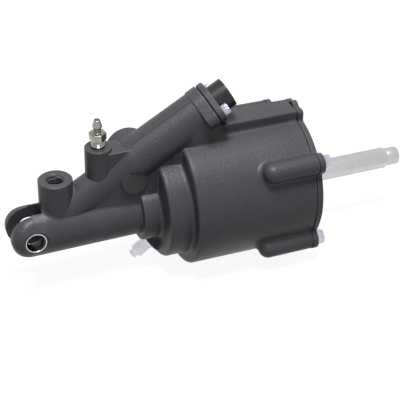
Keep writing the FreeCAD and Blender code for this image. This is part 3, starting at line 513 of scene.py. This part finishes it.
def dressNode(name, obj):
    material = flangeCasting if name == "valve_flange" else slotMaterials[nodeSlots[name]]
    if not obj.data.materials:
        obj.data.materials.append(material)
    for slot in obj.material_slots:
        slot.material = material
    smoother = obj.modifiers.new("smoothCad", "NODES")
    smoother.node_group = smoothCad
    weighted = obj.modifiers.new("weighted", "WEIGHTED_NORMAL")
    weighted.keep_sharp = True


for name, obj in frame["nodes"].items():
    dressNode(name, obj)
print("CAD nodes dressed")


# Helpers for new pieces

seatGap = 0.02  # keeps a head's under side off the face it stands on


def finishPiece(name, mesh, materials, body, replaced=(), sharpAngle=30):
    bmesh.ops.remove_doubles(mesh, verts=mesh.verts, dist=mergeWithin)
    bmesh.ops.recalc_face_normals(mesh, faces=mesh.faces)
    data = bpy.data.meshes.new(name)
    mesh.to_mesh(data)
    mesh.free()
    data.shade_smooth()
    data.set_sharp_from_angle(angle=math.radians(sharpAngle))
    for material in materials:
        data.materials.append(material)
    piece = bpy.data.objects.new(name, data)
    bpy.context.collection.objects.link(piece)
    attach(piece, body)
    if replaced:
        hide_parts(*replaced)
    return piece


def lathe(mesh, profile, steps=48):  # turns (radius, height) points in mm about Z
    verts = [mesh.verts.new((radius * mm, 0, height * mm)) for radius, height in profile]
    edges = [mesh.edges.new(pair) for pair in zip(verts, verts[1:])]
    bmesh.ops.spin(
        mesh, geom=verts + edges, cent=(0, 0, 0), axis=(0, 0, 1), angle=2 * math.pi,
        steps=steps, use_merge=True, use_duplicate=False,
    )


def roundBevel(mesh, edges, size, segments):
    bmesh.ops.bevel(
        mesh, geom=edges, offset=size * mm, affect="EDGES", segments=segments,
        profile=0.5, material=-1, clamp_overlap=True,
    )


def place(mesh, verts, matrix):
    bmesh.ops.transform(mesh, matrix=matrix, verts=verts)


def vertsOf(made):
    return [item for item in made["geom"] if isinstance(item, bmesh.types.BMVert)]


def edgesOf(items):
    return [item for item in items if isinstance(item, bmesh.types.BMEdge)]


def joinInto(mesh, other, matrix=None):
    if matrix:
        place(other, other.verts, matrix)
    temp = bpy.data.meshes.new("temp")
    other.to_mesh(temp)
    other.free()
    mesh.from_mesh(temp)
    bpy.data.meshes.remove(temp)


threadWidth = 0.84  # a ridge's foot, as a part of the pitch


def helixRidge(radius, depth, pitch, turns, start, steps=40):  # one thread ridge, crest at radius + depth
    ridge = bmesh.new()
    half = pitch * threadWidth / 2
    points = [(radius, -half), (radius + depth, 0), (radius, half)]
    verts = [ridge.verts.new((r * mm, 0, (start + z) * mm)) for r, z in points]
    face = ridge.faces.new(verts)
    count = round(steps * turns)
    bmesh.ops.spin(
        ridge, geom=[face], cent=(0, 0, 0), axis=(0, 0, 1), dvec=(0, 0, pitch * mm / steps),
        angle=2 * math.pi * turns, steps=count, use_merge=False, use_duplicate=False,
    )
    return ridge


cornerCut = (0.5, 0.866)  # outward and lengthwise parts of the plane that cuts a hexagon's corner back


def hexReach(acrossFlats):
    return acrossFlats / 2 / math.cos(math.pi / 6) * mm


def hexPrism(acrossFlats, low, high, corner):  # hexagonal prism with its top and bottom corners cut back
    prism = bmesh.new()
    radius = hexReach(acrossFlats)
    bmesh.ops.create_circle(prism, cap_ends=True, radius=radius, segments=6)
    bmesh.ops.translate(prism, vec=(0, 0, low * mm), verts=prism.verts)
    made = bmesh.ops.extrude_face_region(prism, geom=prism.faces[:])
    bmesh.ops.translate(prism, vec=(0, 0, (high - low) * mm), verts=vertsOf(made))
    for end, level in ((1, high), (-1, low)) if corner else ():
        for k in range(6):
            angle = math.pi / 3 * k
            out = Vector((math.cos(angle), math.sin(angle), 0))
            spot = out * (radius - corner * mm) + zAxis * level * mm
            tilt = (out * cornerCut[0] + zAxis * end * cornerCut[1]).normalized()
            cut = bmesh.ops.bisect_plane(
                prism, geom=prism.verts[:] + prism.edges[:] + prism.faces[:], dist=1e-7,
                plane_co=spot, plane_no=tilt, clear_outer=True,
            )
            bmesh.ops.contextual_create(prism, geom=edgesOf(cut["geom_cut"]))
    return prism


# Bleed screw

bleedScrew = {
    "top": 21.6,
    "acrossFlats": 11.0,
    "hexLow": 5.9,
    "hexHigh": 11.4,
    "hexCorner": 0.75,
    "hexRound": 0.16,
    "hexTurn": 8.0,
    "threadRadius": 4.5,
    "threadDepth": 0.55,
    "threadPitch": 1.0,
    "threadTurns": 4.6,
    "threadStart": 0.6,
    "steps": 56,
    "profile": [  # radius and height over the boss, from the point to the nipple's hole
        (0, -14.6), (1.6, -14.6), (1.9, -14.2), (4.35, -11.6), (4.35, 0.6), (4.6, 0.9), (4.6, 5.0),
        (5.0, 5.4), (5.4, 5.9), (5.4, 6.2), (4.0, 6.3), (4.0, 11.2), (3.2, 11.4), (2.7, 11.7),
        (2.62, 12.6), (2.62, 14.9), (2.8, 15.3), (3.25, 15.6), (3.46, 16.0), (3.5, 16.5),
        (3.48, 17.1), (3.3, 17.8), (2.95, 18.7), (2.62, 19.6), (2.45, 20.4), (2.4, 21.1),
        (2.28, 21.45), (2.05, 21.6), (1.3, 21.6), (1.2, 21.45), (1.2, 14.0), (0, 14.0),
    ],
}


def buildBleedScrew():
    look = bleedScrew
    low, high = nodeBox("bleed_screw")
    centre = (low + high) / 2
    mouth = Vector((centre.x, 0, high.z - look["top"] * mm))
    mesh = bmesh.new()
    lathe(mesh, look["profile"], look["steps"])
    hexagon = hexPrism(look["acrossFlats"], look["hexLow"], look["hexHigh"], look["hexCorner"])
    roundBevel(hexagon, hexagon.edges[:], look["hexRound"], 2)
    joinInto(mesh, hexagon, Matrix.Rotation(math.radians(look["hexTurn"]), 4, "Z"))
    radius, depth, pitch = look["threadRadius"], look["threadDepth"], look["threadPitch"]
    joinInto(mesh, helixRidge(radius, depth, pitch, look["threadTurns"], look["threadStart"]))
    place(mesh, mesh.verts, Matrix.Translation(mouth))
    return finishPiece("bleedScrew", mesh, [nickel], "bleeder", ["bleed_screw"])


# Rear cover bolts

coverBolt = {
    "acrossFlats": 10.0,
    "height": 6.4,
    "flange": 6.6,
    "hexBase": 1.1,
    "corner": 0.8,
    "dishRim": 1.1,
    "dishDepth": 0.35,
    "rounding": 0.2,
    "collar": [(5.2, 1.55), (4.4, 1.7), (0, 1.7)],
    "shank": [(0, -23.4), (2.0, -23.4), (2.4, -22.8), (2.4, 0.5), (0, 0.5)],
    "turns": (12, 41, 25, 52),
}


def boltHead():
    mesh = bmesh.new()
    flange = coverBolt["flange"]
    rim = [
        (0, seatGap), (flange - 0.2, seatGap), (flange, 0.2), (flange, 0.62), (flange - 0.25, 0.85),
    ]
    lathe(mesh, rim + coverBolt["collar"], 48)
    flats, corner = coverBolt["acrossFlats"], coverBolt["corner"]
    head = hexPrism(flats, coverBolt["hexBase"], coverBolt["height"], corner)
    top = max(head.faces, key=lambda face: face.calc_center_median().z)
    bmesh.ops.inset_region(head, faces=[top], thickness=coverBolt["dishRim"] * mm, use_even_offset=True)
    bmesh.ops.translate(head, vec=(0, 0, -coverBolt["dishDepth"] * mm), verts=top.verts[:])
    longEdges = [edge for edge in head.edges if edge.calc_length() > 2 * coverBolt["rounding"] * mm]
    roundBevel(head, longEdges, coverBolt["rounding"], 2)
    joinInto(mesh, head)
    lathe(mesh, coverBolt["shank"], 24)
    return mesh


def buildCoverBolts():
    low, high = nodeBox("cover_bolts")
    seat = high.x - coverBolt["height"] * mm
    inset = coverBolt["flange"] * mm
    turns = iter(coverBolt["turns"])
    mesh = bmesh.new()
    for y in (low.y + inset, high.y - inset):
        for z in (high.z - inset, low.z + inset):
            turn = math.radians(next(turns))
            joinInto(mesh, boltHead(), standOn(Vector((seat, y, z)), (1, 0, 0), turn))
    return finishPiece("coverBolts", mesh, [zinc], "housing", ["cover_bolts"])


# Cap screws of the valve flange

capScrew = {
    "radius": 4.25,
    "height": 5.0,
    "acrossFlats": 4.0,
    "socketDepth": 2.6,
    "knurlSink": 0.04,
    "knurls": 36,
    "knurlRoot": 0.962,
    "face": 163.4,
    "shank": 11.8,
    "turns": (14, 40),
}


def capScrewHead():
    mesh = bmesh.new()
    radius, height = capScrew["radius"] - capScrew["knurlSink"], capScrew["height"]
    segments = capScrew["knurls"] * 2
    bmesh.ops.create_circle(mesh, cap_ends=False, radius=radius * mm, segments=segments)
    rim = mesh.edges[:]
    root = capScrew["knurlRoot"]
    bmesh.ops.scale(mesh, vec=(root, root, 1), verts=mesh.verts[:][1::2])
    bmesh.ops.translate(mesh, vec=(0, 0, seatGap * mm), verts=mesh.verts)
    for rise, scale in ((0.5, 1.0), (height - 1.5, 1.0), (0.45, 0.985), (0.35, 0.93)):
        made = bmesh.ops.extrude_edge_only(mesh, edges=rim)
        verts = vertsOf(made)
        bmesh.ops.translate(mesh, vec=(0, 0, rise * mm), verts=verts)
        bmesh.ops.scale(mesh, vec=(scale, scale, 1), verts=verts)
        rim = [edge for edge in edgesOf(made["geom"]) if all(vert in verts for vert in edge.verts)]
    reach = hexReach(capScrew["acrossFlats"])
    hexVerts = bmesh.ops.create_circle(mesh, cap_ends=False, radius=reach, segments=6)["verts"]
    bmesh.ops.translate(mesh, vec=(0, 0, rim[0].verts[0].co.z), verts=hexVerts)
    hexEdges = list({edge for vert in hexVerts for edge in vert.link_edges})
    bmesh.ops.bridge_loops(mesh, edges=rim + hexEdges)
    deep = vertsOf(bmesh.ops.extrude_edge_only(mesh, edges=hexEdges))
    bmesh.ops.translate(mesh, vec=(0, 0, -capScrew["socketDepth"] * mm), verts=deep)
    floor = [edge for edge in mesh.edges if all(vert in deep for vert in edge.verts)]
    bmesh.ops.contextual_create(mesh, geom=floor)
    # the socket faces get the second material, painted shade of the recess
    for face in {face for vert in deep for face in vert.link_faces}:
        face.material_index = 1
    end = -capScrew["shank"]
    lathe(mesh, [(4.0, seatGap), (2.0, seatGap), (2.0, end + 0.4), (1.6, end), (0, end)], 24)
    return mesh


def buildCapScrews():
    offset = nodeBox("flange_screws")[1].y / mm - capScrew["radius"]
    mesh = bmesh.new()
    for side, turn in zip((-1, 1), capScrew["turns"]):
        matrix = alongValve(capScrew["face"], side * offset)
        joinInto(mesh, capScrewHead(), matrix @ Matrix.Rotation(math.radians(turn), 4, "Z"))
    return finishPiece("capScrews", mesh, [zinc, paintedSocketShade], "housing", ["flange_screws"])


# Pushrod

pushrod = {
    "acrossFlats": 15.0,
    "corner": 0.9,
    "endCorner": 0.35,
    "endLength": 12.0,
    "ball": 9.95,
    "neck": 6.0,
}


def edgeRise(edge):
    return abs(edge.verts[0].co.z - edge.verts[1].co.z)


def buildPushrod():
    low, high = nodeBox("pushrod")
    ball, neck = pushrod["ball"], pushrod["neck"]
    tip = high.x / mm
    centre = low.x / mm + ball
    hexStart = centre + 2 * ball
    hexEnd = tip - pushrod["endLength"]
    end = rodTip["dims"]["r_mm"]
    mesh = bmesh.new()
    bar = hexPrism(pushrod["acrossFlats"], hexStart, hexEnd, 0)
    roundBevel(bar, [edge for edge in bar.edges if edgeRise(edge) > 0.01], pushrod["corner"], 4)
    roundBevel(bar, [edge for edge in bar.edges if edgeRise(edge) < mergeWithin], pushrod["endCorner"], 2)
    joinInto(mesh, bar)
    lathe(
        mesh,
        [(0, hexEnd - 2), (end - 0.2, hexEnd - 2), (end - 0.2, hexEnd + 0.6), (end, hexEnd + 1.2),
         (end, tip - 1.6), (end - 0.35, tip - 0.75), (end - 1.3, tip - 0.1), (end - 1.6, tip), (0, tip)],
        64,
    )
    arc = [math.radians(-90 + 8.5 * k) for k in range(17)]
    lathe(
        mesh,
        [(ball * math.cos(angle), centre + ball * math.sin(angle)) for angle in arc]
        + [(neck, centre + 8.2), (neck, centre + 14), (7.2, hexStart + 0.4), (0, hexStart + 0.4)],
        48,
    )
    place(mesh, mesh.verts, Matrix.Rotation(math.pi / 2, 4, "Y"))
    return finishPiece("pushrodBar", mesh, [rodMetal], "rod", ["pushrod"], 24)


# Bushes of the fork

bush = {"wall": 1.0, "inset": 7.3, "face": 17.2, "steps": 72}


def buildBushes():
    inner = clevis["dims"]["r_mm"]
    outer = inner + bush["wall"]
    mesh = bmesh.new()
    for direction in ((0, -1, 0), (0, 1, 0)):
        sleeve = bmesh.new()
        low, high = bush["inset"], bush["face"]
        lathe(
            sleeve,
            [(inner, low + 0.4), (inner + 0.12, low + 0.12), (inner + 0.3, low), (outer - 0.2, low),
             (outer - 0.03, low + 0.2), (outer - 0.03, high - 0.25), (outer - 0.12, high - 0.08),
             (outer - 0.25, high), (inner + 0.28, high), (inner + 0.1, high - 0.12), (inner, high - 0.4),
             (inner, low + 0.4)],
            bush["steps"],
        )
        for face in sleeve.faces:  # the bore and the hidden end get the darker metal
            middle = face.calc_center_median()
            if middle.z < (low + 0.6) * mm or math.hypot(middle.x, middle.y) < (inner + 0.02) * mm:
                face.material_index = 1
        joinInto(mesh, sleeve, standOn(Vector((0, 0, 0)), direction))
    materials = [bushMetal, darkerBoreMetal]
    return finishPiece("forkBushes", mesh, materials, "housing", ["clevis_bushes"])


# Transport plug of the air port

portPlug = {
    "mouth": (90.5, 0, -31.9),
    "slope": 34.8,
    "steps": 48,
    "profile": [  # radius and distance from the port's mouth, from the hollow inner end outwards
        (0, 2.0), (2.9, 2.0), (3.6, 1.2), (3.6, -9.0), (4.3, -9.0), (5.1, -8.0), (5.1, -0.3),
        (5.3, 0.05), (6.2, 0.05), (6.4, 0.3), (6.4, 1.35), (6.2, 1.6), (5.35, 1.9), (5.2, 2.3),
        (5.2, 4.6), (4.95, 4.9), (4.95, 5.7), (5.2, 6.0), (5.2, 12.4), (5.0, 12.9), (4.6, 13.15),
        (3.6, 13.2), (3.4, 13.5), (3.4, 16.4), (3.2, 16.9), (2.8, 17.1), (0, 17.1),
    ],
}


def buildPortPlug():
    slope = math.radians(portPlug["slope"])
    out = Vector((-math.cos(slope), 0, -math.sin(slope)))
    mesh = bmesh.new()
    lathe(mesh, portPlug["profile"], portPlug["steps"])
    place(mesh, mesh.verts, standOn(Vector(portPlug["mouth"]) * mm, out))
    return finishPiece("portPlug", mesh, [clearPlastic], "port_plug", ["air_port_plug"])


# Thread inside the hydraulic port

portThread = {"pitch": 1.5, "depth": 0.75, "turns": 7.2, "lift": 1.0, "overlap": 0.02, "steps": 48}


def buildPortThread():
    radius = port["dims"]["r_mm"] + portThread["overlap"]
    middle = Vector(port["pos_m"])
    bottom = middle.z / mm - port["dims"]["length_mm"] / 2 + portThread["lift"]
    pitch, turns, steps = (portThread[key] for key in ("pitch", "turns", "steps"))
    mesh = helixRidge(radius, -portThread["depth"], pitch, turns, bottom, steps)
    place(mesh, mesh.verts, Matrix.Translation((middle.x, 0, 0)))
    return finishPiece("portThread", mesh, [casting], "housing", (), 60)


# Parting line along the valve tube, drawn as a dark bead of painted shade

partingShadeLine = {
    "tubeRadius": 16.5,
    "angle": 20.0,
    "start": 95.0,
    "end": 148.6,
    "halfWidth": 0.30,
    "flattening": 0.45,
    "sides": 8,
}


def buildPartingShadeLine():
    mesh = bmesh.new()
    around = math.radians(partingShadeLine["angle"])
    made = bmesh.ops.create_circle(
        mesh, cap_ends=True, radius=partingShadeLine["halfWidth"] * mm, segments=partingShadeLine["sides"],
    )
    bmesh.ops.scale(mesh, vec=(partingShadeLine["flattening"], 1, 1), verts=made["verts"])
    far = vertsOf(bmesh.ops.extrude_face_region(mesh, geom=mesh.faces[:]))
    length = partingShadeLine["end"] - partingShadeLine["start"]
    bmesh.ops.translate(mesh, vec=(0, 0, length * mm), verts=far)
    bmesh.ops.translate(mesh, vec=(-partingShadeLine["tubeRadius"] * mm, 0, 0), verts=mesh.verts)
    place(mesh, mesh.verts, Matrix.Rotation(around, 4, "Z"))
    place(mesh, mesh.verts, alongValve(partingShadeLine["start"]))
    # the bead takes the dark rubber material as painted shade of the crevice at the casting's parting
    # step
    return finishPiece("partingShadeLine", mesh, [rubber], "housing", (), 60)


for build in (
    buildBleedScrew, buildCoverBolts, buildCapScrews, buildPushrod,
    buildBushes, buildPortPlug, buildPortThread, buildPartingShadeLine,
):
    piece = build()
    print("built", piece.name, len(piece.data.polygons), "faces")


# Floor, light and camera

studio = {
    "centre": (0.13, 0, 0.0),
    "floorGap": 0.0004,
    "floorSize": 6.0,
    "floorShade": 0.12,
    "floorGlow": 0.92,
    "floorRough": 0.9,
    "floorSpecular": 0.1,
    "world": 0.32,
    "keySpot": (0.04, -0.30, 1.45),
    "keySize": 0.55,
    "keyPower": 38.0,
    "fillSpot": (0.5, -1.5, 0.5),
    "fillSize": 1.2,
    "fillPower": 0.3,
}


def seenRays(tree, x, y):  # 1 for what the camera, a reflection or a clear piece shows
    path = nodeAt(tree, "ShaderNodeLightPath", x - 600, y)
    seen = nodeAt(tree, "ShaderNodeMath", x - 400, y, operation="MAXIMUM")
    through = nodeAt(tree, "ShaderNodeMath", x - 200, y, operation="MAXIMUM")
    tree.links.new(path.outputs["Is Camera Ray"], seen.inputs[0])
    tree.links.new(path.outputs["Is Glossy Ray"], seen.inputs[1])
    tree.links.new(seen.outputs[0], through.inputs[0])
    tree.links.new(path.outputs["Is Transmission Ray"], through.inputs[1])
    return through.outputs[0]


def buildFloor():
    low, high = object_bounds()
    mesh = bmesh.new()
    bmesh.ops.create_grid(mesh, x_segments=1, y_segments=1, size=studio["floorSize"] / 2)
    under = low[2] - studio["floorGap"]
    bmesh.ops.translate(mesh, vec=(studio["centre"][0], 0, under), verts=mesh.verts)
    data = bpy.data.meshes.new("floor")
    mesh.to_mesh(data)
    mesh.free()
    floor = bpy.data.objects.new("floor", data)
    bpy.context.collection.objects.link(floor)
    material, tree, shader = newMaterial("paleFloor")
    shade = studio["floorShade"]
    shader.inputs["Base Color"].default_value = (shade, shade, shade, 1)
    shader.inputs["Roughness"].default_value = studio["floorRough"]
    shader.inputs["Specular IOR Level"].default_value = studio["floorSpecular"]
    glow = nodeAt(tree, "ShaderNodeMath", -300, -300, operation="MULTIPLY")
    glow.inputs[1].default_value = studio["floorGlow"]
    tree.links.new(seenRays(tree, -500, -300), glow.inputs[0])
    shader.inputs["Emission Color"].default_value = (1, 1, 1, 1)
    tree.links.new(glow.outputs[0], shader.inputs["Emission Strength"])
    data.materials.append(material)


def buildWorld():
    world = bpy.data.worlds.new("studio")
    bpy.context.scene.world = world
    world.use_nodes = True
    tree = world.node_tree
    background = tree.nodes["Background"]
    background.inputs["Color"].default_value = (1, 1, 1, 1)
    level = mapTo(tree, seenRays(tree, -300, 0), studio["world"], 1.0, -200, 0)
    tree.links.new(level, background.inputs["Strength"])


def areaLight(name, spot, aim, size, power):
    data = bpy.data.lights.new(name, "AREA")
    data.shape = "DISK"
    data.size = size
    data.energy = power
    light = bpy.data.objects.new(name, data)
    light.location = spot
    light.rotation_mode = "QUATERNION"
    light.rotation_quaternion = (Vector(aim) - Vector(spot)).to_track_quat("-Z", "Y")
    bpy.context.collection.objects.link(light)


def buildLights():
    centre = studio["centre"]
    areaLight("keyLight", studio["keySpot"], centre, studio["keySize"], studio["keyPower"])
    areaLight("fillLight", studio["fillSpot"], centre, studio["fillSize"], studio["fillPower"])


view = {
    "target": (0.13274, 0.0, -0.00428),
    "distance": 0.78866,
    "yaw": 22.43,
    "elevation": 33.66,
    "roll": 1.05,
    "focalPixels": 1023.53,
    "framePixels": 400,
    "sensor": 36.0,
    "clipStart": 0.05,
    "clipEnd": 20.0,
}


def buildCamera():
    yaw, rise, roll = (math.radians(view[key]) for key in ("yaw", "elevation", "roll"))
    ahead = Vector((math.sin(yaw) * math.cos(rise), math.cos(yaw) * math.cos(rise), -math.sin(rise)))
    right = Vector((math.cos(yaw), -math.sin(yaw), 0))
    up = right.cross(ahead)
    rolledRight = right * math.cos(roll) + up * math.sin(roll)
    rolledUp = up * math.cos(roll) - right * math.sin(roll)
    data = bpy.data.cameras.new("camera")
    data.sensor_width = view["sensor"]
    data.lens = view["sensor"] * view["focalPixels"] / view["framePixels"]
    data.clip_start = view["clipStart"]
    data.clip_end = view["clipEnd"]
    camera = bpy.data.objects.new("camera", data)
    bpy.context.collection.objects.link(camera)
    turn = Matrix((rolledRight, rolledUp, -ahead)).transposed().to_4x4()
    camera.matrix_world = Matrix.Translation(Vector(view["target"]) - ahead * view["distance"]) @ turn
    bpy.context.scene.camera = camera


buildFloor()
buildWorld()
buildLights()
buildCamera()
bpy.context.scene.view_settings.view_transform = "Standard"
print("studio built")
